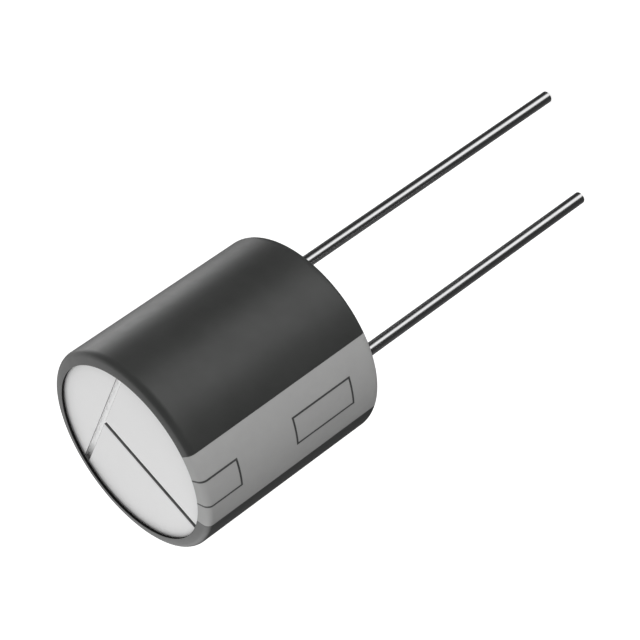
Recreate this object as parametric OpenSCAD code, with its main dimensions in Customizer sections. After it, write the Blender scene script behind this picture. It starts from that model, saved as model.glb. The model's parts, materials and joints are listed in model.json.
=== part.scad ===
// Radial aluminium electrolytic capacitor, cut lead type.
// Origin at the middle of the seating plane, between the leads. +Z runs up through the can to its
// vented end, the leads run down along -Z, and the anode lead stands at +X.

/* [Body] */
// Outside diameter over the sleeve
body_d = 10; // [9.5:0.25:12.5]
// Height from the seating plane to the top of the sleeve
body_h = 10.5; // [9.5:0.5:20]

/* [Sleeve] */
// Wall of the shrunk sleeve
sleeve_wall = 0.12; // [0.1:0.01:0.18]
// Clearance between the sleeve and the can
sleeve_gap = 0.02; // [0.02:0.005:0.04]
// Outer edge radius of the sleeve at the vented end
vent_edge_r = 0.34; // [0.3:0.02:0.5]
// Outer edge radius of the sleeve at the lead end
lead_edge_r = 0.45; // [0.3:0.05:0.5]
// Reach of the sleeve over the vented end, from its outside
vent_lip = 0.61; // [0.55:0.02:0.75]
// Slope at which the sleeve rises from its rounded edge to the opening at the vented end, in degrees
vent_slope = 11; // [4:1:14]
// Reach of the sleeve over the lead end, from its outside
lead_lip = 0.85; // [0.6:0.05:1]

/* [Print] */
// Direction of the middle of the stripe, from the anode lead
stripe_turn = 217.4; // [170:0.2:230]
// Angle that the stripe covers
stripe_angle = 47; // [40:1:60]
// Depth of the printed ink in the sleeve
ink_depth = 0.03; // [0.02:0.005:0.04]
// Angle that a minus mark covers
mark_angle = 17.4; // [14:0.2:24]
// Length of a minus mark along the body
mark_l = 3.5; // [2.5:0.1:4]
// Distance from one minus mark to the next
mark_pitch = 6.7; // [5:0.1:8]
// Height of the first minus mark over the seating plane
mark_z = 1.7; // [1:0.1:3]
// Width of the line round a minus mark
mark_line = 0.1; // [0.06:0.01:0.12]

/* [Can] */
// Side wall of the can
can_wall = 0.25; // [0.2:0.01:0.3]
// Thickness of the can's closed end
can_end = 0.4; // [0.35:0.05:0.6]
// Height of the bead that grips the seal
bead_z = 1.95; // [1.8:0.05:2.1]
// Radius of the bead's groove, which is half round
bead_r = 0.45; // [0.3:0.05:0.5]
// Outer radius of the curl that closes the can's open edge
curl_r = 0.5; // [0.4:0.05:0.5]

/* [Vent] */
// Width of the vent's grooves
vent_w = 0.3; // [0.2:0.02:0.4]
// Depth of the vent's grooves
vent_depth = 0.2; // [0.1:0.02:0.24]
// Distance of the bar of the T from the can's axis
vent_bar = 1.93; // [1.4:0.05:2.4]
// Distance of the stem of the T from the can's axis
vent_stem = 0.2; // [0:0.05:0.5]
// Turn of the T from the plane of the leads
vent_turn = 3.9; // [0:0.1:10]

/* [Seal] */
// Height of the seal
seal_h = 2.6; // [2.4:0.1:2.8]
// Height of the seal's lower face over the seating plane
seal_z = 0.45; // [0.4:0.05:0.6]
// Clearance of the seal in the can, and of the stems in the seal
seal_gap = 0.02; // [0.02:0.005:0.04]

/* [Leads] */
// Distance between the leads
lead_pitch = 5; // [3.5:0.1:5.2]
// Diameter of the lead wire
lead_d = 0.6; // [0.5:0.05:0.8]
// Length of the anode lead below the seating plane
anode_lead_l = 19; // [15:0.5:30]
// Length of the cathode lead below the seating plane
cathode_lead_l = 16.5; // [12:0.5:25]
// Chamfer at the cut end of a lead
lead_chamfer = 0.04; // [0.02:0.01:0.1]
// Diameter of the weld nugget where a lead meets its stem
nugget_d = 0.96; // [0.9:0.02:1.2]
// Length of the weld nugget
nugget_l = 0.3; // [0.2:0.05:0.4]

/* [Tabs] */
// Diameter of the aluminium stem in the seal
stem_d = 1.4; // [1.3:0.1:1.6]
// Length over which a stem is pressed flat above the seal
flat_l = 0.6; // [0.4:0.05:0.8]
// Thickness of a tab's paddle
tab_t = 0.25; // [0.2:0.01:0.3]
// Width of a tab's paddle
tab_w = 1.3; // [1:0.05:1.5]
// Distance that a paddle stops short of the foil's upper edge
tab_short = 0.3; // [0.2:0.1:1]

/* [Winding] */
// Radius of the hole that the winding mandrel leaves
core_r = 0.6; // [0.5:0.05:0.9]
// Thickness of the anode foil
anode_foil_t = 0.1; // [0.08:0.005:0.12]
// Thickness of the cathode foil
cathode_foil_t = 0.06; // [0.04:0.005:0.08]
// Thickness of each separator paper
paper_t = 0.05; // [0.04:0.005:0.06]
// Clearance between neighbouring layers of the winding
film = 0.02; // [0.015:0.005:0.025]
// Distance that the papers stand past the foils' edges
paper_margin = 0.3; // [0.2:0.05:0.5]
// Turns that the papers run on past the foils' ends
paper_lead = 0.25; // [0.1:0.05:0.4]
// Thickness of the tape round the winding
tape_t = 0.05; // [0.04:0.005:0.06]
// Height of the tape round the winding
tape_h = 3; // [2:0.5:4]
// Clearance between the winding and what stands round it
winding_gap = 0.1; // [0.06:0.02:0.2]

/* [Hidden] */
$fn = 96;
over = 1; // how far a cutting shape runs past what it cuts

body_r = body_d / 2;
can_r = body_r - sleeve_wall - sleeve_gap;
can_in_r = can_r - can_wall;
can_z0 = sleeve_wall + sleeve_gap;
// The sleeve's lip leaves the rounded edge at its slope and ends at body_h. The edge would top out at
// edge_z if it turned a full quarter, and that height is kept to whole steps.
edge_step = 0.001;
lip_rise = (vent_lip - vent_edge_r * (1 - sin(vent_slope))) * tan(vent_slope);
edge_z = round((body_h - lip_rise + vent_edge_r * (1 - cos(vent_slope))) / edge_step) * edge_step;
can_z1 = edge_z - sleeve_wall - sleeve_gap;
can_in_z1 = can_z1 - can_end;
shoulder_r = vent_edge_r - sleeve_wall - sleeve_gap;
curl_z = can_z0 + curl_r;
curl_tip_r = can_r - 2 * curl_r;
vent_lip_r = body_r - vent_lip;
lead_lip_r = body_r - lead_lip;
vent_reach = can_r - shoulder_r - sleeve_gap;

lead_r = lead_d / 2;
nugget_r = nugget_d / 2;
stem_r = stem_d / 2;
stem_z0 = seal_z + nugget_l;
seal_z1 = seal_z + seal_h;
stem_z1 = seal_z1 + winding_gap;
flat_z1 = stem_z1 + flat_l;

paper_z0 = flat_z1 + winding_gap;
paper_z1 = can_in_z1 - winding_gap;
foil_z0 = paper_z0 + paper_margin;
foil_z1 = paper_z1 - paper_margin;
tab_z1 = foil_z1 - tab_short;

// The winding's cross-section follows chords of this angle.
wind_step = 10;
// Where each layer starts in one turn: anode foil, inner paper, cathode foil, outer paper.
slot = [
    0,
    anode_foil_t + film,
    anode_foil_t + paper_t + 2 * film,
    anode_foil_t + paper_t + cathode_foil_t + 3 * film
];
turn_pitch = slot[3] + paper_t + film;
tab_bump = tab_t + film;
// The tape takes one more turn, and the papers run on past the foils.
wind_room = can_in_r - winding_gap - tab_bump - tape_t - core_r;
turns = floor(wind_room / turn_pitch - 1 - paper_lead);
foil_a1 = 360 * turns;
paper_a0 = -360 * paper_lead;
paper_a1 = foil_a1 + 360 * paper_lead;
tape_a0 = paper_a1 + wind_step;
tape_a1 = tape_a0 + 360 - wind_step;

// A tab lies on the outside of its foil, on the turn that comes nearest to its lead.
function nearest_turn(k, foil_t, side) =
    round((lead_pitch / 2 - tab_seat(k, foil_t) - tab_t / 2 - core_r) / turn_pitch - side / 360);
function tab_seat(k, foil_t) = slot[k] + foil_t + film;
anode_side = 0;
cathode_side = 180;
anode_tab_a = anode_side + 360 * nearest_turn(0, anode_foil_t, anode_side);
cathode_tab_a = cathode_side + 360 * nearest_turn(2, cathode_foil_t, cathode_side);

// Radius of the winding's innermost face at angle a, on the chord between two corners of the spiral.
function chord(a) =
    let (part = a - wind_step * floor(a / wind_step))
    cos(wind_step / 2) / cos(part - wind_step / 2);
// Half the angle that a paddle takes at radius r.
function paddle_half(r) = asin(tab_w / 2 / r);
// 1 over the paddle, falling to 0 beside it, at angle d from the paddle's middle.
function swell(d, half) =
    let (
        off = abs(d - 360 * round(d / 360)),
        flat = wind_step * ceil(half / wind_step),
        ramp = 3 * wind_step
    )
    max(0, min(1, (flat + ramp - off) / ramp));
// How far layer k is pushed out at angle a by a tab that lies on layer j at angle at.
function push(a, k, at, j) =
    a > at + (k > j ? -180 : 180)
        ? tab_bump * swell(a - at, paddle_half(core_r + turn_pitch * at / 360 + slot[j])) : 0;
// Radius of the inside of layer k at angle a.
function layer_r(a, k) =
    core_r + turn_pitch * a / 360 + slot[k] + push(a, k, anode_tab_a, 0) + push(a, k, cathode_tab_a, 2);
function polar(r, a) = [r * cos(a), r * sin(a)];
// Corners of the spiral from angle a0 to a1, with the two ends themselves.
function corners(a0, a1) =
    concat(
        [a0],
        [for (i = [floor(a0 / wind_step) + 1 : ceil(a1 / wind_step) - 1]) i * wind_step],
        [a1]
    );

// Cross-section of a strip on layer k, dr out from the layer's inside and t thick.
module strip(k, dr, t, a0, a1) {
    angles = corners(a0, a1);
    last = len(angles) - 1;
    polygon(concat(
        [for (a = angles) polar((layer_r(a, k) + dr) * chord(a), a)],
        [for (i = [last : -1 : 0])
            polar((layer_r(angles[i], k) + dr + t) * chord(angles[i]), angles[i])]
    ));
}

module wound(k, t, a0, a1, z0, z1) {
    translate([0, 0, z0]) linear_extrude(z1 - z0) strip(k, 0, t, a0, a1);
}

// Half section of a closed drum of radius r with rounded outer edges, r0 below and r1 above.
module drum_section(r, z0, z1, r0, r1) {
    translate([0, z0 + r0]) square([r, z1 - z0 - r0 - r1]);
    translate([0, z0]) square([r - r0, r0]);
    translate([0, z1 - r1]) square([r - r1, r1]);
    intersection() {
        translate([r - r0, z0 + r0]) circle(r0);
        translate([r - r0, z0]) square(r0);
    }
    intersection() {
        translate([r - r1, z1 - r1]) circle(r1);
        translate([r - r1, z1 - r1]) square(r1);
    }
}

// The sleeve's outside, taken in by the given amount: a drum, and a lip that leaves the drum's rounded
// edge smoothly and slopes up past the opening.
module sleeve_outside(inset) {
    edge_r = vent_edge_r - inset;
    drum_section(body_r - inset, inset, edge_z - inset, lead_edge_r - inset, edge_r);
    translate([body_r - vent_edge_r, edge_z - vent_edge_r])
        rotate([0, 0, -vent_slope])
            translate([-vent_lip, -vent_edge_r]) square([vent_lip, vent_edge_r + edge_r]);
}

module sleeve_section() {
    difference() {
        sleeve_outside(0);
        sleeve_outside(sleeve_wall);
        translate([-over, body_h - sleeve_wall - over]) square([vent_lip_r + over, sleeve_wall + 2 * over]);
        translate([-over, -over]) square([lead_lip_r + over, sleeve_wall + 2 * over]);
    }
}

module ink_section() {
    difference() {
        sleeve_section();
        sleeve_outside(ink_depth);
    }
}

// The outermost skin of the sleeve over the given angle, about the middle of the stripe.
module ink(angle) {
    rotate([0, 0, stripe_turn - angle / 2]) rotate_extrude(angle = angle) ink_section();
}

// A block that holds the skin from z0 to z1 over the given angle, about the middle of the stripe.
module ink_window(angle, z0, z1) {
    rotate([0, 0, stripe_turn - angle / 2])
        rotate_extrude(angle = angle)
            translate([body_r / 2, z0]) square([body_r, z1 - z0]);
}

line_angle = mark_line / body_r * 180 / PI;
marks = [for (z = [mark_z : mark_pitch : body_h - 2 * vent_edge_r]) z];

// Blocks that hold the line round each minus mark. The last mark runs off the sleeve's edge.
module mark_blocks() {
    for (z = marks)
        difference() {
            ink_window(mark_angle, z, min(z + mark_l, body_h + over));
            ink_window(mark_angle - 2 * line_angle, z + mark_line, z + mark_l - mark_line);
        }
}

module sleeve() {
    color("#3b3c3b")
        difference() {
            rotate_extrude() sleeve_section();
            ink(stripe_angle);
        }
}

module polarity_stripe() {
    color("#9a9a9a")
        difference() {
            ink(stripe_angle);
            mark_blocks();
        }
}

module minus_marks() {
    color("#4a4a4a")
        intersection() {
            ink(stripe_angle);
            mark_blocks();
        }
}

module can_section() {
    difference() {
        union() {
            difference() {
                drum_section(can_r, curl_z - over, can_z1, shoulder_r, shoulder_r);
                translate([-over, -2 * over]) square([can_in_r + over, can_in_z1 + 2 * over]);
                translate([-over, curl_z - 2 * over]) square([body_r + over, 2 * over]);
            }
            // the wall bulges inwards behind the bead
            intersection() {
                translate([can_r, bead_z]) circle(bead_r + can_wall);
                translate([0, curl_z]) square([can_in_r, can_z1 - curl_z]);
            }
        }
        translate([can_r, bead_z]) circle(bead_r);
    }
    // the open edge is curled in under the seal
    difference() {
        translate([can_r - curl_r, curl_z]) circle(curl_r);
        translate([can_r - curl_r, curl_z]) circle(curl_r - can_wall);
        translate([0, curl_z]) square([body_r, 2 * curl_r]);
    }
}

// The T of the vent: a bar that crosses the end, and a stem from it to the far edge.
module vent_grooves() {
    rotate([0, 0, vent_turn])
        translate([0, 0, can_z1 - vent_depth])
            linear_extrude(vent_depth + over)
                intersection() {
                    circle(vent_reach);
                    union() {
                        translate([vent_bar - vent_w / 2, -body_r]) square([vent_w, body_d]);
                        translate([-body_r, vent_stem - vent_w / 2]) square([body_r + vent_bar, vent_w]);
                    }
                }
}

module can() {
    color("#d9d9da")
        difference() {
            rotate_extrude() can_section();
            vent_grooves();
        }
}

module seal_section() {
    difference() {
        union() {
            translate([0, curl_z + seal_gap]) square([can_in_r - seal_gap, seal_z1 - curl_z - seal_gap]);
            translate([0, seal_z]) square([curl_tip_r - seal_gap, curl_z + 2 * seal_gap - seal_z]);
        }
        translate([can_r, bead_z]) circle(bead_r + can_wall + seal_gap);
    }
}

module lead_hole() {
    translate([0, 0, seal_z - over]) cylinder(r = nugget_r + seal_gap, h = nugget_l + over);
    translate([0, 0, stem_z0]) cylinder(r = stem_r + seal_gap, h = seal_h + over);
}

module rubber_seal() {
    color("#2b2b2b")
        difference() {
            rotate_extrude() seal_section();
            for (side = [-1, 1])
                translate([side * lead_pitch / 2, 0, 0]) lead_hole();
        }
}

// A wire of length l below the seating plane, with its weld nugget in the seal.
module lead(l) {
    translate([0, 0, -l]) cylinder(r1 = lead_r - lead_chamfer, r2 = lead_r, h = lead_chamfer);
    translate([0, 0, lead_chamfer - l]) cylinder(r = lead_r, h = l + seal_z - lead_chamfer);
    translate([0, 0, seal_z]) cylinder(r1 = lead_r, r2 = nugget_r, h = nugget_l);
}

module anode_lead() {
    color("#b9bcc0") translate([lead_pitch / 2, 0, 0]) lead(anode_lead_l);
}

module cathode_lead() {
    color("#b9bcc0") translate([-lead_pitch / 2, 0, 0]) lead(cathode_lead_l);
}

// A stem on the +X side whose top is pressed flat to meet a paddle between radii r0 and r1.
module stem(r0, r1) {
    x = lead_pitch / 2;
    translate([x, 0, stem_z0]) cylinder(r = stem_r, h = stem_z1 - stem_z0);
    intersection() {
        translate([x, 0, stem_z1]) cylinder(r = stem_r, h = flat_l);
        translate([0, stem_r, 0])
            rotate([90, 0, 0])
                linear_extrude(stem_d)
                    polygon([
                        [x - stem_r, stem_z1], [x + stem_r, stem_z1], [r1, flat_z1], [r0, flat_z1]
                    ]);
    }
}

// A tab on the outside of layer k at angle at: its stem, and the paddle that lies in the winding.
module tab(k, foil_t, at, side) {
    dr = foil_t + film;
    seat_r = layer_r(at, k) + dr;
    half = paddle_half(seat_r);
    rotate([0, 0, side]) stem(seat_r, seat_r + tab_t);
    translate([0, 0, flat_z1 - flat_l / 2])
        linear_extrude(tab_z1 - flat_z1 + flat_l / 2)
            strip(k, dr, tab_t, at - half, at + half);
}

module anode_tab() {
    color("#cfd1d3") tab(0, anode_foil_t, anode_tab_a, anode_side);
}

module cathode_tab() {
    color("#cfd1d3") tab(2, cathode_foil_t, cathode_tab_a, cathode_side);
}

module anode_foil() {
    color("#9fa2a6") wound(0, anode_foil_t, 0, foil_a1, foil_z0, foil_z1);
}

module inner_separator() {
    color("#d8c9a3") wound(1, paper_t, paper_a0, paper_a1, paper_z0, paper_z1);
}

module cathode_foil() {
    color("#bfc2c6") wound(2, cathode_foil_t, 0, foil_a1, foil_z0, foil_z1);
}

module outer_separator() {
    color("#cdbd94") wound(3, paper_t, paper_a0, paper_a1, paper_z0, paper_z1);
}

module winding_tape() {
    mid = (paper_z0 + paper_z1) / 2;
    color("#c9a560") wound(0, tape_t, tape_a0, tape_a1, mid - tape_h / 2, mid + tape_h / 2);
}

can();
sleeve();
polarity_stripe();
minus_marks();
rubber_seal();
anode_lead();
cathode_lead();
anode_tab();
cathode_tab();
anode_foil();
inner_separator();
cathode_foil();
outer_separator();
winding_tape();
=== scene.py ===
import json
from math import ceil, cos, degrees, pi, radians, sin, sqrt, tan

import bmesh
import bpy
from mathutils import Matrix, Vector

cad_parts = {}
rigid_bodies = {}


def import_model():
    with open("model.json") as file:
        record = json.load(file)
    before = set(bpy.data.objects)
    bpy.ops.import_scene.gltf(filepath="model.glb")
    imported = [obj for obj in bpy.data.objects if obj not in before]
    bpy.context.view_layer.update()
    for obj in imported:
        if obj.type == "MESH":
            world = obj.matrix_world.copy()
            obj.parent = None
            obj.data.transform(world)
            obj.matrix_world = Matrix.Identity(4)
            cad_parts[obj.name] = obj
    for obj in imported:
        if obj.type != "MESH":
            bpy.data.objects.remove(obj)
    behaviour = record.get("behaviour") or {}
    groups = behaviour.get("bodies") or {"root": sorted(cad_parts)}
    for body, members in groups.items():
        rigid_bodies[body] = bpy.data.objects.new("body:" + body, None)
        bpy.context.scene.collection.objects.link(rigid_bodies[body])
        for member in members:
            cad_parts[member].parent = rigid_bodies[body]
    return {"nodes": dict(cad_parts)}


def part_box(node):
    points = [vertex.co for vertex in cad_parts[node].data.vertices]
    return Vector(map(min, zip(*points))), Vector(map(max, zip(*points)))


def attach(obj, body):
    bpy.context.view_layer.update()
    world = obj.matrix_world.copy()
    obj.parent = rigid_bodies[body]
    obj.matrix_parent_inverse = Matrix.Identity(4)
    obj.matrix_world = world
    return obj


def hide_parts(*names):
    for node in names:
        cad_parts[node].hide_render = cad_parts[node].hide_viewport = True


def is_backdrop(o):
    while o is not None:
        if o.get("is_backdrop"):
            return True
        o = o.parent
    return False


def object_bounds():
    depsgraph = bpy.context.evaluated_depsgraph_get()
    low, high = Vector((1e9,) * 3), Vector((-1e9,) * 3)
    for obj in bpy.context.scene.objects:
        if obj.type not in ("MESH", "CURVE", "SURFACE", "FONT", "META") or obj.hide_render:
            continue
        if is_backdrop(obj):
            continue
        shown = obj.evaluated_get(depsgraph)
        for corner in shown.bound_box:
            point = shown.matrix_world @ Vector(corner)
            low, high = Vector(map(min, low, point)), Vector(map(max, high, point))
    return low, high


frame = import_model()
cad_low, cad_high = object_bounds()


# ---------------------------------------------------------------------------------------------
# The sleeve: a tube of near-black shrink film. It is pushed over the can and shrunk with hot air,
# which pulls it smooth and turns its two ends in over the can's ends. Nothing else holds it.
# ---------------------------------------------------------------------------------------------

MM = 1000.0  # the pieces are drawn in millimetres, and are made metres when they are finished

sleeve_low, sleeve_high = (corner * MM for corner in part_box("sleeve"))
body_r = (sleeve_high.x - sleeve_low.x) / 2
body_h = sleeve_high.z
stripe_film = 0.003  # thickness of the stripe's ink
mark_film = 0.002  # thickness of the marks' ink, which lies on the stripe
print_film = stripe_film + mark_film
film_wall = 0.12
film_cut = 0.02  # rounding of the film's cut edge
vent_edge_r = 0.34
vent_lip = 0.61  # how far the lip reaches in over the vent end
vent_slope = radians(11)  # the lip rises at this slope from the rounded edge to its opening
lead_edge_r = 0.45
lead_lip = 0.85
steps_round = 288
film_crease = 50


def arc(x, z, r, start, end, steps=10):
    """Points on an arc about (x, z), from one angle to another, in degrees."""
    angles = [radians(start + (end - start) * i / steps) for i in range(steps + 1)]
    return [(x + r * cos(a), z + r * sin(a)) for a in angles]


edge_x = body_r - vent_edge_r
lip_rise = (vent_lip - vent_edge_r * (1 - sin(vent_slope))) * tan(vent_slope)
edge_z = body_h - lip_rise - vent_edge_r * cos(vent_slope)  # height of the rounded edge's middle
lip_turn = 90 - degrees(vent_slope)  # where the rounded edge runs out into the lip
opening_r = body_r - vent_lip


def lip_z(x, depth):
    """Height of the vent end's lip at reach x, at the given depth under the film's outside."""
    return body_h - depth / cos(vent_slope) - (x - opening_r) * tan(vent_slope)


def sleeve_outside():
    """The film's outer face in half section, from the lead end's opening to the vent end's."""
    cut_low_x = body_r - lead_lip + film_cut
    cut_high_x = opening_r + film_cut
    cut_high_z = lip_z(cut_high_x, print_film + film_cut)
    points = arc(cut_low_x, print_film + film_cut, film_cut, 180, 270, 5)
    points += arc(body_r - lead_edge_r, lead_edge_r, lead_edge_r - print_film, 270, 360, 16)
    points += arc(edge_x, edge_z, vent_edge_r - print_film, 0, lip_turn, 16)
    points += arc(cut_high_x, cut_high_z, film_cut, lip_turn, 180, 5)
    return points


def sleeve_section():
    """The film's closed half section: the outside upwards, then the inside downwards."""
    inside = [(opening_r, lip_z(opening_r, film_wall))]
    inside += arc(edge_x, edge_z, vent_edge_r - film_wall, lip_turn, 0, 10)
    inside += arc(body_r - lead_edge_r, lead_edge_r, lead_edge_r - film_wall, 360, 270, 10)
    inside += [(body_r - lead_lip, film_wall)]
    outside = sleeve_outside()
    return outside + inside + outside[:1]


def outline_mesh(name, points):
    """A chain of edges in the XZ plane through the given points."""
    mesh = bpy.data.meshes.new(name)
    ends = range(len(points) - 1)
    mesh.from_pydata([(x, 0, z) for x, z in points], [(i, i + 1) for i in ends], [])
    return mesh


class Tree:
    """A geometry tree that is being built: its inputs by name, and short calls that add nodes."""

    def __init__(self, name, inputs):
        self.group = bpy.data.node_groups.new(name, "GeometryNodeTree")
        sockets = self.group.interface
        self.ids = {}
        for label, kind in inputs:
            made = sockets.new_socket(name=label, in_out="INPUT", socket_type="NodeSocket" + kind)
            self.ids[label] = made.identifier
        sockets.new_socket(name="Made", in_out="OUTPUT", socket_type="NodeSocketGeometry")
        self.entry = self.group.nodes.new("NodeGroupInput")

    def given(self, label):
        """The tree's own input of that name."""
        return self.entry.outputs[label]

    def add(self, kind, settings=None, **links):
        """A new node. Links are its inputs, by name with _ for a blank, or i0, i1 by place."""
        node = self.group.nodes.new(kind)
        for key, value in (settings or {}).items():
            setattr(node, key, value)
        for key, value in links.items():
            by_place = key[0] == "i" and key[1:].isdigit()
            socket = node.inputs[int(key[1:]) if by_place else key.replace("_", " ")]
            if isinstance(value, bpy.types.NodeSocket):
                self.group.links.new(value, socket)
            else:
                socket.default_value = value
        return node

    def math(self, operation, a, b=0.0):
        """The outcome of a sum on two numbers or sockets."""
        return self.add("ShaderNodeMath", {"operation": operation}, i0=a, i1=b).outputs[0]

    def end(self, geometry, finish):
        """Every tree ends in real geometry with its finish on it."""
        real = self.add("GeometryNodeRealizeInstances", Geometry=geometry)
        dressed = self.add("GeometryNodeSetMaterial", Geometry=real.outputs[0], Material=finish)
        exit_node = self.group.nodes.new("NodeGroupOutput")
        self.group.links.new(dressed.outputs[0], exit_node.inputs[0])


def turning_tree():
    """Turns a half section about the Z axis. The section's points are the mesh's, in order."""
    tree = Tree("Turned about the axis", [
        ("Section", "Geometry"), ("Steps round", "Int"), ("Weld", "Float"), ("Finish", "Material"),
    ])
    section = tree.given("Section")
    count = tree.add("GeometryNodeAttributeDomainSize", Geometry=section).outputs["Point Count"]
    columns = tree.math("ADD", tree.given("Steps round"), 1.0)
    grid = tree.add("GeometryNodeMeshGrid", Vertices_X=columns, Vertices_Y=count)
    place = tree.add("GeometryNodeInputPosition").outputs[0]
    flat = tree.add("ShaderNodeSeparateXYZ", Vector=place).outputs
    last = tree.math("SUBTRACT", count, 1.0)
    along = tree.math("MULTIPLY", tree.math("ADD", flat[1], 0.5), last)
    point = tree.add(
        "GeometryNodeSampleIndex", {"data_type": "FLOAT_VECTOR"},
        Geometry=section, Value=place, Index=tree.math("ROUND", along),
    ).outputs[0]
    across = tree.add("ShaderNodeSeparateXYZ", Vector=point).outputs
    angle = tree.math("MULTIPLY", tree.math("ADD", flat[0], 0.5), 2 * pi)
    turned_place = tree.add(
        "ShaderNodeCombineXYZ",
        X=tree.math("MULTIPLY", across[0], tree.math("COSINE", angle)),
        Y=tree.math("MULTIPLY", across[0], tree.math("SINE", angle)),
        Z=across[2],
    ).outputs[0]
    shaped = tree.add(
        "GeometryNodeSetPosition", Geometry=grid.outputs["Mesh"], Position=turned_place
    )
    mapped = tree.add(
        "GeometryNodeStoreNamedAttribute", {"data_type": "FLOAT2", "domain": "CORNER"},
        Geometry=shaped.outputs[0], Name="UVMap", Value=grid.outputs["UV Map"],
    )
    closed = tree.add(
        "GeometryNodeMergeByDistance", Geometry=mapped.outputs[0], Distance=tree.given("Weld")
    )
    tree.end(closed.outputs[0], tree.given("Finish"))
    return tree


def grown(name, mesh, tree, **inputs):
    """The plain mesh object that a tree makes from a mesh, still in millimetres."""
    seed = bpy.data.objects.new(name + "_seed", mesh)
    bpy.context.scene.collection.objects.link(seed)
    modifier = seed.modifiers.new("Tree", "NODES")
    modifier.node_group = tree.group
    for key, value in inputs.items():
        modifier[tree.ids[key.replace("_", " ")]] = value
    view = bpy.context.evaluated_depsgraph_get()
    made = bpy.data.meshes.new_from_object(seed.evaluated_get(view))
    bpy.data.objects.remove(seed)
    made.name = name
    finish = made.materials[-1]  # the seed leaves an empty place before it
    made.materials.clear()
    made.materials.append(finish)
    made.polygons.foreach_set("material_index", [0] * len(made.polygons))
    piece = bpy.data.objects.new(name, made)
    bpy.context.scene.collection.objects.link(piece)
    return piece


def smoothed(piece, crease):
    """Smooth shading, with edges kept sharp where faces turn by more than the crease angle."""
    piece.data.shade_smooth()
    piece.data.set_sharp_from_angle(angle=radians(crease))


def finished(piece, slot, *nodes):
    """Takes the piece from millimetres to metres, ties it to the root body, and hides the frame's
    nodes that it stands in for.
    """
    piece.data.transform(Matrix.Scale(1 / MM, 4))
    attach(piece, "root")
    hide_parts(*nodes)


class Finish:
    """A material that is being built on one Principled shader, with patterns in object space."""

    thin, thick = 0.3, 0.7  # a cloud's noise seldom leaves this span

    def __init__(self, name, color, roughness, metallic=0.0, specular=0.5):
        self.material = bpy.data.materials.new(name)
        self.material.use_nodes = True
        self.nodes = self.material.node_tree.nodes
        self.shader = self.nodes["Principled BSDF"]
        self.shader.inputs["Base Color"].default_value = (*color, 1)
        self.shader.inputs["Roughness"].default_value = roughness
        self.shader.inputs["Metallic"].default_value = metallic
        self.shader.inputs["Specular IOR Level"].default_value = specular
        self.place = self.nodes.new("ShaderNodeTexCoord").outputs["Object"]

    def link(self, start, end):
        self.material.node_tree.links.new(start, end)

    def stretched(self, x, y, z):
        """Object coordinates drawn out along each axis by the given factor."""
        mapping = self.nodes.new("ShaderNodeMapping")
        mapping.inputs["Scale"].default_value = (1 / x, 1 / y, 1 / z)
        self.link(self.place, mapping.inputs["Vector"])
        return mapping.outputs["Vector"]

    def cloud(self, grain, detail=3.0, place=None):
        """Noise from 0 to 1 whose blotches are about grain millimetres across."""
        noise = self.nodes.new("ShaderNodeTexNoise")
        noise.inputs["Scale"].default_value = MM / grain
        noise.inputs["Detail"].default_value = detail
        self.link(place or self.place, noise.inputs["Vector"])
        return noise.outputs["Fac"]

    def tint(self, value, dark, light):
        """The colour goes from dark to light with the value."""
        ramp = self.nodes.new("ShaderNodeValToRGB")
        ramp.color_ramp.elements[0].position = self.thin
        ramp.color_ramp.elements[0].color = (*dark, 1)
        ramp.color_ramp.elements[1].position = self.thick
        ramp.color_ramp.elements[1].color = (*light, 1)
        self.link(value, ramp.inputs["Fac"])
        self.link(ramp.outputs["Color"], self.shader.inputs["Base Color"])

    def rough(self, value, low, high):
        """The roughness goes from low to high with the value."""
        span = self.nodes.new("ShaderNodeMapRange")
        span.inputs["From Min"].default_value = self.thin
        span.inputs["From Max"].default_value = self.thick
        span.inputs["To Min"].default_value = low
        span.inputs["To Max"].default_value = high
        self.link(value, span.inputs["Value"])
        self.link(span.outputs["Result"], self.shader.inputs["Roughness"])

    def relief(self, value, height, normal=None):
        """Bump of the given height in millimetres. Returns its normal, for a second relief."""
        bump = self.nodes.new("ShaderNodeBump")
        bump.inputs["Strength"].default_value = 1.0
        bump.inputs["Distance"].default_value = height / MM
        self.link(value, bump.inputs["Height"])
        if normal:
            self.link(normal, bump.inputs["Normal"])
        self.link(bump.outputs["Normal"], self.shader.inputs["Normal"])
        return bump.outputs["Normal"]


def shrink_film():
    """Satin film: faint orange peel from the shrinking, and streaks from its extrusion."""
    film = Finish("shrink_film", (0.033, 0.034, 0.033), 0.42)
    film.tint(film.cloud(1.6), (0.030, 0.031, 0.030), (0.036, 0.037, 0.036))
    film.rough(film.cloud(0.5, 2.0), 0.40, 0.44)
    streaks = film.cloud(0.35, 2.0, film.stretched(1, 1, 14))
    first = film.relief(streaks, 0.0006)
    film.relief(film.cloud(0.12, 2.0), 0.0003, first)
    return film.material


def cut_edge_painted_shade():
    """The film's cut edge is dull, and is painted near black, far darker than the film itself, as
    painted shade where it lies in the can's shade.
    """
    edge = Finish("cut_edge_painted_shade", (0.006, 0.006, 0.006), 0.8, specular=0.1)
    edge.tint(edge.cloud(0.08), (0.004, 0.004, 0.004), (0.009, 0.009, 0.009))
    edge.relief(edge.cloud(0.05), 0.001)
    return edge.material


lathe = turning_tree()
weld = 0.0005  # points nearer than this are one point
sleeve = grown(
    "sleeve_film", outline_mesh("sleeve_section", sleeve_section()), lathe,
    Steps_round=steps_round, Weld=weld, Finish=shrink_film(),
)
smoothed(sleeve, film_crease)
sleeve.data.materials.append(cut_edge_painted_shade())
# The cut edge at the vent end gets the near-black painted shade.
for face in sleeve.data.polygons:
    reach = face.center.to_2d().length
    if reach < opening_r + film_cut / 4 and face.center.z > body_h / 2:
        face.material_index = 1
finished(sleeve, "sleeve", "sleeve")


# ---------------------------------------------------------------------------------------------
# The polarity stripe: grey ink, printed on the film down the cathode's side before the film was
# cut and shrunk. So it runs over both turned-in ends and stops at their cut edges.
# ---------------------------------------------------------------------------------------------

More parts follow.
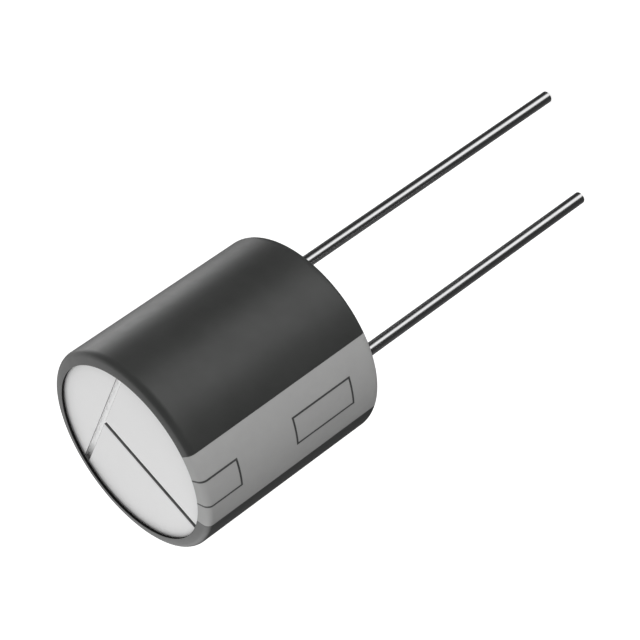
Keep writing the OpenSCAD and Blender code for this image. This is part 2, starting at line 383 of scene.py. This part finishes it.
stripe_turn = 217.4
stripe_angle = 47.0
print_step = 1.0  # the print follows the round film in steps of this many degrees
sink = 0.002  # the ink's underside lies this deep in the film, so that no light gets under it
ink_weld = weld / 5


def printing_tree():
    """Lays a flat drawing on the film. X is the angle about the can, and Y the way along the
    film's outside from the lead end's opening. Then the ink is given its thickness."""
    tree = Tree("Printed on the film", [
        ("Drawing", "Geometry"), ("Film", "Object"), ("Under", "Float"), ("Ink", "Float"),
        ("Weld", "Float"), ("Finish", "Material"),
    ])
    film = tree.add("GeometryNodeObjectInfo", Object=tree.given("Film")).outputs["Geometry"]
    path = tree.add("GeometryNodeMeshToCurve", Mesh=film).outputs[0]
    place = tree.add("GeometryNodeInputPosition").outputs[0]
    flat = tree.add("ShaderNodeSeparateXYZ", Vector=place).outputs
    sample = tree.add("GeometryNodeSampleCurve", {"mode": "LENGTH"}, Curves=path, Length=flat[1])
    spot = tree.add("ShaderNodeSeparateXYZ", Vector=sample.outputs["Position"]).outputs
    way = tree.add("ShaderNodeSeparateXYZ", Vector=sample.outputs["Tangent"]).outputs
    under = tree.given("Under")
    reach = tree.math("SUBTRACT", spot[0], tree.math("MULTIPLY", way[2], under))
    height = tree.math("ADD", spot[2], tree.math("MULTIPLY", way[0], under))
    laid = tree.add(
        "ShaderNodeCombineXYZ",
        X=tree.math("MULTIPLY", reach, tree.math("COSINE", flat[0])),
        Y=tree.math("MULTIPLY", reach, tree.math("SINE", flat[0])),
        Z=height,
    ).outputs[0]
    drawing = tree.given("Drawing")
    sheet = tree.add("GeometryNodeSetPosition", Geometry=drawing, Position=laid).outputs[0]
    raised = tree.add("GeometryNodeExtrudeMesh", Mesh=sheet, Offset_Scale=tree.given("Ink"))
    raised.inputs["Individual"].default_value = False
    underside = tree.add("GeometryNodeFlipFaces", Mesh=sheet).outputs[0]
    both = tree.group.nodes.new("GeometryNodeJoinGeometry")
    tree.group.links.new(underside, both.inputs[0])
    tree.group.links.new(raised.outputs["Mesh"], both.inputs[0])
    closed = tree.add(
        "GeometryNodeMergeByDistance", Geometry=both.outputs[0], Distance=tree.given("Weld")
    )
    tree.end(closed.outputs[0], tree.given("Finish"))
    return tree


def divided(start, end, step):
    """Places from start to end, no further apart than step, give or take a thousandth."""
    parts = max(1, ceil((end - start) / step - 0.001))
    return [start + (end - start) * i / parts for i in range(parts + 1)]


def drawing(name, columns, rows, keep=None):
    """A flat sheet of cells between the given columns and rows. keep picks the cells."""
    wanted = []
    for i in range(len(columns) - 1):
        for j in range(len(rows) - 1):
            middle = ((columns[i] + columns[i + 1]) / 2, (rows[j] + rows[j + 1]) / 2)
            if keep is None or keep(*middle):
                wanted.append((i, j))
    corners = sorted({(i + di, j + dj) for i, j in wanted for di in (0, 1) for dj in (0, 1)})
    number = {corner: k for k, corner in enumerate(corners)}
    around = ((0, 0), (1, 0), (1, 1), (0, 1))
    faces = [[number[i + di, j + dj] for di, dj in around] for i, j in wanted]
    mesh = bpy.data.meshes.new(name)
    mesh.from_pydata([(columns[i], rows[j], 0) for i, j in corners], [], faces)
    return mesh


def lengths_along(points):
    """How far along the chain each of its points lies."""
    total = [0.0]
    for a, b in zip(points, points[1:]):
        total.append(total[-1] + (Vector(b) - Vector(a)).length)
    return total


def ink_finish(name, dark, light, roughness):
    """Screen-printed ink: a fine grain in its colour and its gloss."""
    ink = Finish(name, light, roughness)
    ink.tint(ink.cloud(0.5, 4.0), dark, light)
    ink.rough(ink.cloud(0.2, 2.0), roughness - 0.03, roughness + 0.03)
    ink.relief(ink.cloud(0.1, 3.0), 0.00025)
    return ink.material


press = printing_tree()
film_path = sleeve_outside()
way_along = lengths_along(film_path)
film_shape = bpy.data.objects.new("film_path", outline_mesh("film_path", film_path))
bpy.context.scene.collection.objects.link(film_shape)
edge_a = radians(stripe_turn - stripe_angle / 2)
edge_b = radians(stripe_turn + stripe_angle / 2)
stripe = grown(
    "stripe_print", drawing("stripe", divided(edge_a, edge_b, radians(print_step)), way_along),
    press, Film=film_shape, Under=sink, Ink=sink + stripe_film, Weld=ink_weld,
    Finish=ink_finish("stripe_ink", (0.318, 0.318, 0.315), (0.328, 0.328, 0.325), 0.45),
)
smoothed(stripe, film_crease)
finished(stripe, "stripe_ink", "polarity_stripe")


# ---------------------------------------------------------------------------------------------
# The minus marks: a thin dark line round each, printed over the stripe. The last one runs over
# the edge at the vent end and is cut off by the film's opening.
# ---------------------------------------------------------------------------------------------

mark_angle = 17.4
mark_l = 3.5
mark_pitch = 6.7
mark_z = 1.7
mark_line = 0.1
mark_heights = (mark_z, mark_z + mark_pitch)
line_angle = mark_line / body_r


def way_to(height):
    """How far along the film's path a height on its straight side lies."""
    low = [(z, way) for (x, z), way in zip(film_path, way_along) if z <= lead_edge_r + weld]
    side_z, side_way = low[-1]
    return side_way + height - side_z


def mark_drawing(name, start, end):
    """The line round one mark: the cells outside its inner window, up to the film's edge."""
    middle = radians(stripe_turn)
    half = radians(mark_angle / 2)
    inner = half - line_angle
    columns = [middle - half] + divided(middle - inner, middle + inner, radians(print_step))
    columns.append(middle + half)
    film_end = way_along[-1]
    turns = [w for w in way_along if start + mark_line < w < min(end - mark_line, film_end)]
    rows = sorted({start, start + mark_line, *turns, min(end, film_end)})
    if end < film_end:
        rows = sorted({*rows, end - mark_line})

    def on_line(angle, way):
        beside = abs(angle - middle) > inner
        below_or_above = way < start + mark_line or way > end - mark_line
        return beside or below_or_above

    return drawing(name, columns, rows, on_line)


mark_ink = ink_finish("mark_ink", (0.040, 0.040, 0.040), (0.048, 0.048, 0.048), 0.5)
marks = []
for number, height in enumerate(mark_heights, 1):
    low = way_to(height)
    mark = grown(
        f"minus_mark_{number}", mark_drawing(f"mark_{number}", low, low + mark_l), press,
        Film=film_shape, Under=sink - stripe_film, Ink=sink + mark_film, Weld=ink_weld,
        Finish=mark_ink,
    )
    marks.append(mark)
bpy.data.objects.remove(film_shape)
marks_joined = bmesh.new()
for mark in marks:
    marks_joined.from_mesh(mark.data)
marks_mesh = bpy.data.meshes.new("minus_marks_print")
marks_joined.to_mesh(marks_mesh)
marks_joined.free()
marks_mesh.materials.append(mark_ink)
for mark in marks:
    bpy.data.objects.remove(mark)
minus_marks = bpy.data.objects.new("minus_marks_print", marks_mesh)
bpy.context.scene.collection.objects.link(minus_marks)
smoothed(minus_marks, film_crease)
finished(minus_marks, "mark_ink", "minus_marks")


# ---------------------------------------------------------------------------------------------
# The can: drawn from one disc of aluminium. Its end is coined with the T of the vent, its side is
# rolled in to a bead that grips the seal, and its open edge is curled in under the seal.
# ---------------------------------------------------------------------------------------------

can_low, can_high = (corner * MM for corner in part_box("can"))
can_r = (can_high.x - can_low.x) / 2
can_wall = 0.25
can_end = 0.4
shoulder_r = 0.2
bead_z = 1.95
bead_r = 0.45
curl_r = 0.5
vent_w = 0.3
vent_depth = 0.2
vent_bar = 1.93
vent_stem = 0.2
vent_turn = 3.9
vent_short = 0.02  # the grooves end this far short of the shoulder
vent_reach = can_r - shoulder_r - vent_short
coin_edge = 0.02  # chamfer of the coined grooves' edges
wall_shade_depth = 0.07  # the bar's walls are painted dark as shade down to here, and below it are burnished and painted lighter
can_crease = 35


def can_section():
    """The can's closed half section: outside upwards from the curl, and inside downwards."""
    inner_r = can_r - can_wall
    inner_top = can_high.z - can_end
    curl_z = can_low.z + curl_r
    curl_x = can_r - curl_r
    bulge = bead_r + can_wall
    bulge_half = sqrt(bulge ** 2 - can_wall ** 2)
    points = arc(curl_x, curl_z, curl_r, 180, 360, 24)
    points += arc(can_r, bead_z, bead_r, 270, 90, 20)
    points += arc(can_r - shoulder_r, can_high.z - shoulder_r, shoulder_r, 0, 90, 10)
    points += [(0, can_high.z), (0, inner_top), (inner_r, inner_top)]
    side = degrees(Vector((can_wall, bulge_half)).angle(Vector((1, 0))))
    points += arc(can_r, bead_z, bulge, 180 - side, 180 + side, 20)
    points += arc(curl_x, curl_z, curl_r - can_wall, 360, 180, 16)
    return points + points[:1]


def vent_outline(spread):
    """The T, grown by the given amount, with ends that lie under the film's lip."""
    half = vent_w / 2 + spread
    bar_low, bar_high = vent_bar - half, vent_bar + half
    low, high = vent_stem - half, vent_stem + half

    def rim(x):
        return sqrt(vent_reach ** 2 - x ** 2)

    return [
        (-rim(low), low), (bar_low, low), (bar_low, -rim(bar_low)), (bar_high, -rim(bar_high)),
        (bar_high, rim(bar_high)), (bar_low, rim(bar_low)), (bar_low, high), (-rim(high), high),
    ]


def vent_punch():
    """The punch that coins the T. It leaves a foot and an upper wall, split where the walls'
    painted shade ends, and a broken edge.
    """
    top = can_high.z
    levels = [
        (top - vent_depth, 0.0), (top - wall_shade_depth, 0.0), (top - coin_edge, 0.0),
        (top, coin_edge), (top + vent_depth, coin_edge),
    ]
    corners = [(x, y, z) for z, spread in levels for x, y in vent_outline(spread)]
    count = len(corners) // len(levels)
    faces = [list(range(count))[::-1], list(range(len(corners) - count, len(corners)))]
    for k in range(0, len(corners) - count, count):
        for i in range(count):
            j = (i + 1) % count
            faces.append([k + i, k + j, k + j + count, k + i + count])
    mesh = bpy.data.meshes.new("vent_punch")
    mesh.from_pydata(corners, [], faces)
    mesh.transform(Matrix.Rotation(radians(vent_turn), 4, "Z"))
    punch = bpy.data.objects.new("vent_punch", mesh)
    bpy.context.scene.collection.objects.link(punch)
    return punch


def plain_mesh(piece):
    """Applies a piece's modifiers."""
    view = bpy.context.evaluated_depsgraph_get()
    made = bpy.data.meshes.new_from_object(piece.evaluated_get(view))
    piece.modifiers.clear()
    piece.data = made


def can_metal():
    """Drawn aluminium: bright and matt, with faint lines from the rolled strip."""
    metal = Finish("can_aluminium", (0.8, 0.8, 0.8), 0.5, metallic=0.12)
    metal.tint(metal.cloud(1.2, 4.0), (0.795, 0.795, 0.795), (0.805, 0.805, 0.805))
    rolled = metal.cloud(0.05, 3.0, metal.stretched(1, 24, 24))
    metal.rough(rolled, 0.48, 0.52)
    metal.relief(rolled, 0.0002)
    return metal.material


def groove_wall_painted_shade():
    """The grooves' upper walls: rough aluminium painted dark grey, as painted shade inside the
    grooves.
    """
    metal = Finish("groove_wall_aluminium_painted_shade", (0.2, 0.2, 0.2), 0.6, metallic=0.4)
    metal.tint(metal.cloud(0.2, 4.0), (0.19, 0.19, 0.19), (0.21, 0.21, 0.21))
    metal.relief(metal.cloud(0.06, 3.0), 0.002)
    return metal.material


def burnished_painted_light():
    """The grooves' floor and the foot of the bar's walls, which the punch pressed smooth. Their
    colour is painted lighter than the can's end, as painted light against the grooves' shade.
    """
    metal = Finish("burnished_aluminium_painted_light", (0.9, 0.9, 0.9), 0.35, metallic=0.35)
    metal.tint(metal.cloud(0.3, 3.0), (0.89, 0.89, 0.89), (0.91, 0.91, 0.91))
    metal.rough(metal.cloud(0.1, 3.0), 0.32, 0.38)
    metal.relief(metal.cloud(0.15, 2.0), 0.00005)
    return metal.material


can = grown(
    "can_shell", outline_mesh("can_section", can_section()), lathe,
    Steps_round=steps_round, Weld=weld, Finish=can_metal(),
)
punch = vent_punch()
coin = can.modifiers.new("Coined vent", "BOOLEAN")
coin.object = punch
coin.operation = "DIFFERENCE"
coin.solver = "EXACT"
plain_mesh(can)
bpy.data.objects.remove(punch)
can.data.materials.append(groove_wall_painted_shade())
can.data.materials.append(burnished_painted_light())
groove_z = can_high.z - vent_depth
across_bar = Vector((cos(radians(vent_turn)), sin(radians(vent_turn)), 0))
# Groove faces get either the dark painted shade on the walls or the lighter finish with painted
# light.
for face in can.data.polygons:
    in_grooves = groove_z - weld < face.center.z < can_high.z - weld
    if not in_grooves or face.center.to_2d().length > vent_reach:
        continue
    # Below the walls' painted shade, the floor and the foot of the bar's walls take the lighter
    # finish with painted light.
    below_wall_shade = face.center.z < can_high.z - wall_shade_depth
    foot_of_bar = below_wall_shade and abs(face.normal.dot(across_bar)) > 0.7
    face.material_index = 2 if foot_of_bar or face.normal.z > 0.9 else 1
smoothed(can, can_crease)
finished(can, "can", "can")


# ---------------------------------------------------------------------------------------------
# The leads: tinned steel-cored copper wire, cut to unequal lengths so that the longer one marks
# the anode. Each is butt-welded to its aluminium stem inside the seal, in a small nugget.
# ---------------------------------------------------------------------------------------------

lead_chamfer = 0.04
nugget_l = 0.3
lead_steps = 64
lead_r = 0.3
lead_crease = 40


def lead_section(low, high, nugget_r):
    """A wire from its cut end up to the weld, in half section about its own axis."""
    cut = lead_chamfer
    round_end = arc(lead_r - cut, low + cut, cut, 270, 360, 6)
    shoulder = high - nugget_l
    return [(0, low)] + round_end + [(lead_r, shoulder), (nugget_r, high), (0, high)]


def tinned_wire():
    """Bright tin with fine lines along the wire from the drawing die."""
    tin = Finish("tinned_wire", (0.76, 0.76, 0.765), 0.2, metallic=1.0)
    drawn = tin.cloud(0.15, 1.0, tin.stretched(1, 1, 60))
    tin.tint(tin.cloud(0.6, 3.0), (0.75, 0.75, 0.755), (0.79, 0.79, 0.795))
    tin.rough(drawn, 0.18, 0.22)
    tin.relief(drawn, 0.00004)
    return tin.material


wire = tinned_wire()
for node in ("anode_lead", "cathode_lead"):
    low, high = (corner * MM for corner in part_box(node))
    axis_x = (low.x + high.x) / 2
    section = lead_section(low.z, high.z, (high.x - low.x) / 2)
    lead = grown(
        node + "_wire", outline_mesh(node + "_section", section), lathe,
        Steps_round=lead_steps, Weld=weld, Finish=wire,
    )
    lead.data.transform(Matrix.Translation((axis_x, 0, 0)))
    smoothed(lead, lead_crease)
    finished(lead, "lead_wire", node)


# ---------------------------------------------------------------------------------------------
# What the can holds: the rubber seal with the two stems through it, and the wound element. These
# keep the frame's own solids and are given their real finishes.
# ---------------------------------------------------------------------------------------------


def seal_rubber():
    """Moulded butyl rubber, black and dull, with a fine mould texture."""
    rubber = Finish("seal_rubber", (0.022, 0.022, 0.022), 0.62, specular=0.35)
    rubber.tint(rubber.cloud(0.7, 4.0), (0.018, 0.018, 0.018), (0.028, 0.028, 0.028))
    rubber.rough(rubber.cloud(0.25), 0.56, 0.7)
    rubber.relief(rubber.cloud(0.06, 4.0), 0.003)
    return rubber.material


def tab_metal():
    """Aluminium wire pressed flat, with the marks of the press across it."""
    metal = Finish("tab_aluminium", (0.68, 0.68, 0.68), 0.38, metallic=1.0)
    metal.tint(metal.cloud(0.4), (0.62, 0.62, 0.62), (0.72, 0.72, 0.72))
    pressed = metal.cloud(0.06, 3.0, metal.stretched(12, 12, 1))
    metal.rough(pressed, 0.32, 0.46)
    metal.relief(pressed, 0.001)
    return metal.material


def etched_foil(name, dark, light):
    """Foil etched to a fine sponge: dull, with a slight roll grain up the can."""
    foil = Finish(name, light, 0.68, metallic=0.7)
    foil.tint(foil.cloud(0.3, 5.0, foil.stretched(1, 1, 6)), dark, light)
    foil.rough(foil.cloud(0.1, 3.0), 0.62, 0.76)
    foil.relief(foil.cloud(0.03, 4.0), 0.002)
    return foil.material


def separator_paper():
    """Soft cellulose paper, damp with electrolyte, with its fibres showing."""
    paper = Finish("separator_paper", (0.66, 0.60, 0.47), 0.7, specular=0.3)
    paper.tint(paper.cloud(0.25, 6.0), (0.58, 0.52, 0.40), (0.70, 0.65, 0.52))
    paper.rough(paper.cloud(0.15), 0.6, 0.8)
    paper.relief(paper.cloud(0.04, 6.0), 0.006)
    return paper.material


def adhesive_tape():
    """Thin yellowish film tape that closes the winding."""
    tape = Finish("winding_tape", (0.52, 0.40, 0.20), 0.3)
    tape.tint(tape.cloud(0.8), (0.47, 0.35, 0.17), (0.56, 0.44, 0.23))
    tape.rough(tape.cloud(0.3), 0.24, 0.36)
    tape.relief(tape.cloud(0.5, 2.0), 0.002)
    return tape.material


inner_finishes = {
    "rubber_seal": seal_rubber(),
    "anode_tab": tab_metal(),
    "anode_foil": etched_foil("anode_foil", (0.40, 0.40, 0.41), (0.50, 0.50, 0.51)),
    "cathode_foil": etched_foil("cathode_foil", (0.46, 0.46, 0.46), (0.58, 0.58, 0.58)),
    "inner_separator": separator_paper(),
    "winding_tape": adhesive_tape(),
}
inner_finishes["cathode_tab"] = inner_finishes["anode_tab"]
inner_finishes["outer_separator"] = inner_finishes["inner_separator"]
for node, material in inner_finishes.items():
    for place in frame["nodes"][node].material_slots:
        place.material = material


# ---------------------------------------------------------------------------------------------
# The studio: a white room and floor, two soft lamps, and a round tent of white, grey and black
# cloths. Only reflections see the tent, and they see it in place of the room and the floor, so
# that bright metal and satin film have light and dark to show.
# ---------------------------------------------------------------------------------------------

floor_half = 0.7
floor_gap = 0.00002  # the floor lies this far under the lead tips
studio_white = 1.0
room_light = 0.47  # how much the white room lights the part
floor_glow = 0.63


def seen_directly(nodes, links):
    """1 for what the camera, a reflection or a see-through ray meets, and 0 for other light."""
    path = nodes.new("ShaderNodeLightPath").outputs
    first = nodes.new("ShaderNodeMath")
    first.operation = "MAXIMUM"
    links.new(path["Is Camera Ray"], first.inputs[0])
    links.new(path["Is Glossy Ray"], first.inputs[1])
    both = nodes.new("ShaderNodeMath")
    both.operation = "MAXIMUM"
    links.new(first.outputs[0], both.inputs[0])
    links.new(path["Is Transmission Ray"], both.inputs[1])
    return both.outputs[0]


def blended(nodes, links, factor, off, on):
    """A strength that is off where the factor is 0 and on where it is 1."""
    span = nodes.new("ShaderNodeMapRange")
    span.inputs["To Min"].default_value = off
    span.inputs["To Max"].default_value = on
    links.new(factor, span.inputs["Value"])
    return span.outputs["Result"]


world = bpy.data.worlds.new("white_room")
bpy.context.scene.world = world
world.use_nodes = True
sky = world.node_tree
direct = seen_directly(sky.nodes, sky.links)
room = sky.nodes["Background"]
room.inputs["Color"].default_value = (1, 1, 1, 1)
room_level = blended(sky.nodes, sky.links, direct, room_light, studio_white)
sky.links.new(room_level, room.inputs["Strength"])

paint = bpy.data.materials.new("white_floor")
paint.use_nodes = True
floor_nodes = paint.node_tree.nodes
floor_links = paint.node_tree.links
floor_shader = floor_nodes["Principled BSDF"]
floor_shader.inputs["Base Color"].default_value = (0.8, 0.8, 0.8, 1)
floor_shader.inputs["Roughness"].default_value = 0.9
floor_shader.inputs["Specular IOR Level"].default_value = 0.0
floor_shader.inputs["Emission Color"].default_value = (1, 1, 1, 1)
direct = seen_directly(floor_nodes, floor_links)
glow = blended(floor_nodes, floor_links, direct, 0.0, floor_glow)
floor_links.new(glow, floor_shader.inputs["Emission Strength"])
floor_mesh = bpy.data.meshes.new("floor")
floor_z = cad_low.z - floor_gap
floor_corners = [(-1, -1), (1, -1), (1, 1), (-1, 1)]
floor_mesh.from_pydata(
    [(x * floor_half, y * floor_half, floor_z) for x, y in floor_corners], [], [[0, 1, 2, 3]]
)
floor_mesh.materials.append(paint)
floor = bpy.data.objects.new("floor", floor_mesh)
bpy.context.scene.collection.objects.link(floor)
floor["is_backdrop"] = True


def direction(azimuth, elevation):
    """The unit vector at an azimuth from +X and an elevation, both in degrees."""
    level = cos(radians(elevation))
    turn = radians(azimuth)
    return Vector((level * cos(turn), level * sin(turn), sin(radians(elevation))))


# How bright the tent is round about, as (azimuth, brightness): under the floor's level where the
# leads' reflections fall, from there up to the horizon, above it, and overhead.
tent_low = [
    (-180, 0.045), (-165, 0.04), (-140, 0.035), (-114, 0.05), (-98, 1.1), (-62, 1.1),
    (-44, 0.1), (-20, 0.02), (10, 0.04), (40, 0.12), (70, 0.16), (100, 0.12), (131, 0.1),
    (161, 0.055), (180, 0.045),
]
tent_side = [
    (-180, 0.03), (-104, 0.03), (-96, 1.6), (-58, 1.6), (-48, 0.03), (8, 0.05), (14, 2.9),
    (33, 2.9), (42, 0.9), (52, 0.1), (80, 0.12), (104, 0.12), (120, 0.16), (150, 0.05),
    (180, 0.03),
]
tent_top = [
    (-180, 0.03), (-172, 0.02), (14, 0.02), (26, 1.0), (60, 1.5), (85, 1.2), (98, 2.2), (125, 2.6),
    (160, 1.0), (180, 0.03),
]
tent_crown = [(-180, 0.02), (180, 0.02)]
tent_seams = ((-33, -25), (-8, 16), (48, 62))  # elevations between which one runs into the next
tent_r = 0.12
tent_glow = 3.0  # the brightest that the tent can be


def tent_cloth():
    """Cloth that glows by its azimuth and its height, from black through grey to white."""
    cloth = bpy.data.materials.new("tent_cloth")
    cloth.use_nodes = True
    nodes, links = cloth.node_tree.nodes, cloth.node_tree.links
    nodes.clear()
    place = nodes.new("ShaderNodeTexCoord").outputs["Object"]
    axes = nodes.new("ShaderNodeSeparateXYZ")
    links.new(place, axes.inputs[0])
    turn = nodes.new("ShaderNodeMath")
    turn.operation = "ARCTAN2"
    links.new(axes.outputs["Y"], turn.inputs[0])
    links.new(axes.outputs["X"], turn.inputs[1])
    share = nodes.new("ShaderNodeMapRange")
    share.inputs["From Min"].default_value = -pi
    share.inputs["From Max"].default_value = pi
    links.new(turn.outputs[0], share.inputs["Value"])
    shades = []
    for stops in (tent_low, tent_side, tent_top, tent_crown):
        ramp = nodes.new("ShaderNodeValToRGB")
        points = ramp.color_ramp.elements
        while len(points) < len(stops):
            points.new(0.5)
        for point, (azimuth, level) in zip(points, stops):
            point.position = (azimuth + 180) / 360
            point.color = (level / tent_glow, level / tent_glow, level / tent_glow, 1)
        links.new(share.outputs["Result"], ramp.inputs["Fac"])
        shades.append(ramp.outputs["Color"])
    mixed = shades[0]
    for shade, (start, end) in zip(shades[1:], tent_seams):
        height = nodes.new("ShaderNodeMapRange")
        height.inputs["From Min"].default_value = tent_r * sin(radians(start))
        height.inputs["From Max"].default_value = tent_r * sin(radians(end))
        links.new(axes.outputs["Z"], height.inputs["Value"])
        mix = nodes.new("ShaderNodeMix")
        mix.data_type = "RGBA"
        links.new(height.outputs["Result"], mix.inputs["Factor"])
        links.new(mixed, mix.inputs[6])  # the colours' own A, B and result
        links.new(shade, mix.inputs[7])
        mixed = mix.outputs[2]
    shine = nodes.new("ShaderNodeEmission")
    shine.inputs["Strength"].default_value = tent_glow
    links.new(mixed, shine.inputs["Color"])
    out = nodes.new("ShaderNodeOutputMaterial")
    links.new(shine.outputs[0], out.inputs["Surface"])
    return cloth


tent_shape = bmesh.new()
bmesh.ops.create_icosphere(tent_shape, subdivisions=5, radius=tent_r)
tent_mesh = bpy.data.meshes.new("tent")
tent_shape.to_mesh(tent_mesh)
tent_shape.free()
tent_mesh.materials.append(tent_cloth())
tent = bpy.data.objects.new("tent", tent_mesh)
bpy.context.scene.collection.objects.link(tent)
tent.visible_camera = False
tent.visible_diffuse = False
tent.visible_transmission = False
tent.visible_shadow = False
tent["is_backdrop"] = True
floor.visible_glossy = False


def lamp(name, azimuth, elevation, distance, size, level):
    """A soft square lamp. A white face turned to it gets the given level of light."""
    data = bpy.data.lights.new(name, "AREA")
    data.shape = "SQUARE"
    data.size = size
    data.energy = level * pi ** 2 * distance ** 2
    made = bpy.data.objects.new(name, data)
    bpy.context.scene.collection.objects.link(made)
    out = direction(azimuth, elevation)
    made.location = Vector((0, 0, cad_high.z / 2)) + out * distance
    made.rotation_euler = out.to_track_quat("Z", "Y").to_euler()
    made.visible_glossy = False


lamp("key_lamp", azimuth=-85, elevation=6, distance=0.22, size=0.12, level=0.68)
lamp("top_lamp", azimuth=85, elevation=78, distance=0.25, size=0.2, level=0.24)


# ---------------------------------------------------------------------------------------------
# The camera: a long lens that looks at the vented end from above, from near the stripe's side,
# and leans so far over that the leads point up and to the right.
# ---------------------------------------------------------------------------------------------

camera_data = bpy.data.cameras.new("camera")
camera_data.lens = 140.78
camera_data.sensor_width = 36.0
camera_data.clip_start = 0.001
camera = bpy.data.objects.new("camera", camera_data)
bpy.context.scene.collection.objects.link(camera)
aim = Vector((-0.000150, -0.000430, -0.000796))
camera_distance = 0.112978
camera_azimuth = -99.963
camera_elevation = 29.488
camera_roll = radians(-125.176)
back = direction(camera_azimuth, camera_elevation)
level_right = Vector((0, 0, 1)).cross(back).normalized()
level_up = back.cross(level_right)
right = level_right * cos(camera_roll) + level_up * sin(camera_roll)
up = level_up * cos(camera_roll) - level_right * sin(camera_roll)
turned = Matrix((right, up, back)).transposed().to_4x4()
camera.matrix_world = Matrix.Translation(aim + back * camera_distance) @ turned
bpy.context.scene.camera = camera
bpy.context.scene.view_settings.view_transform = "Standard"

low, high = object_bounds()
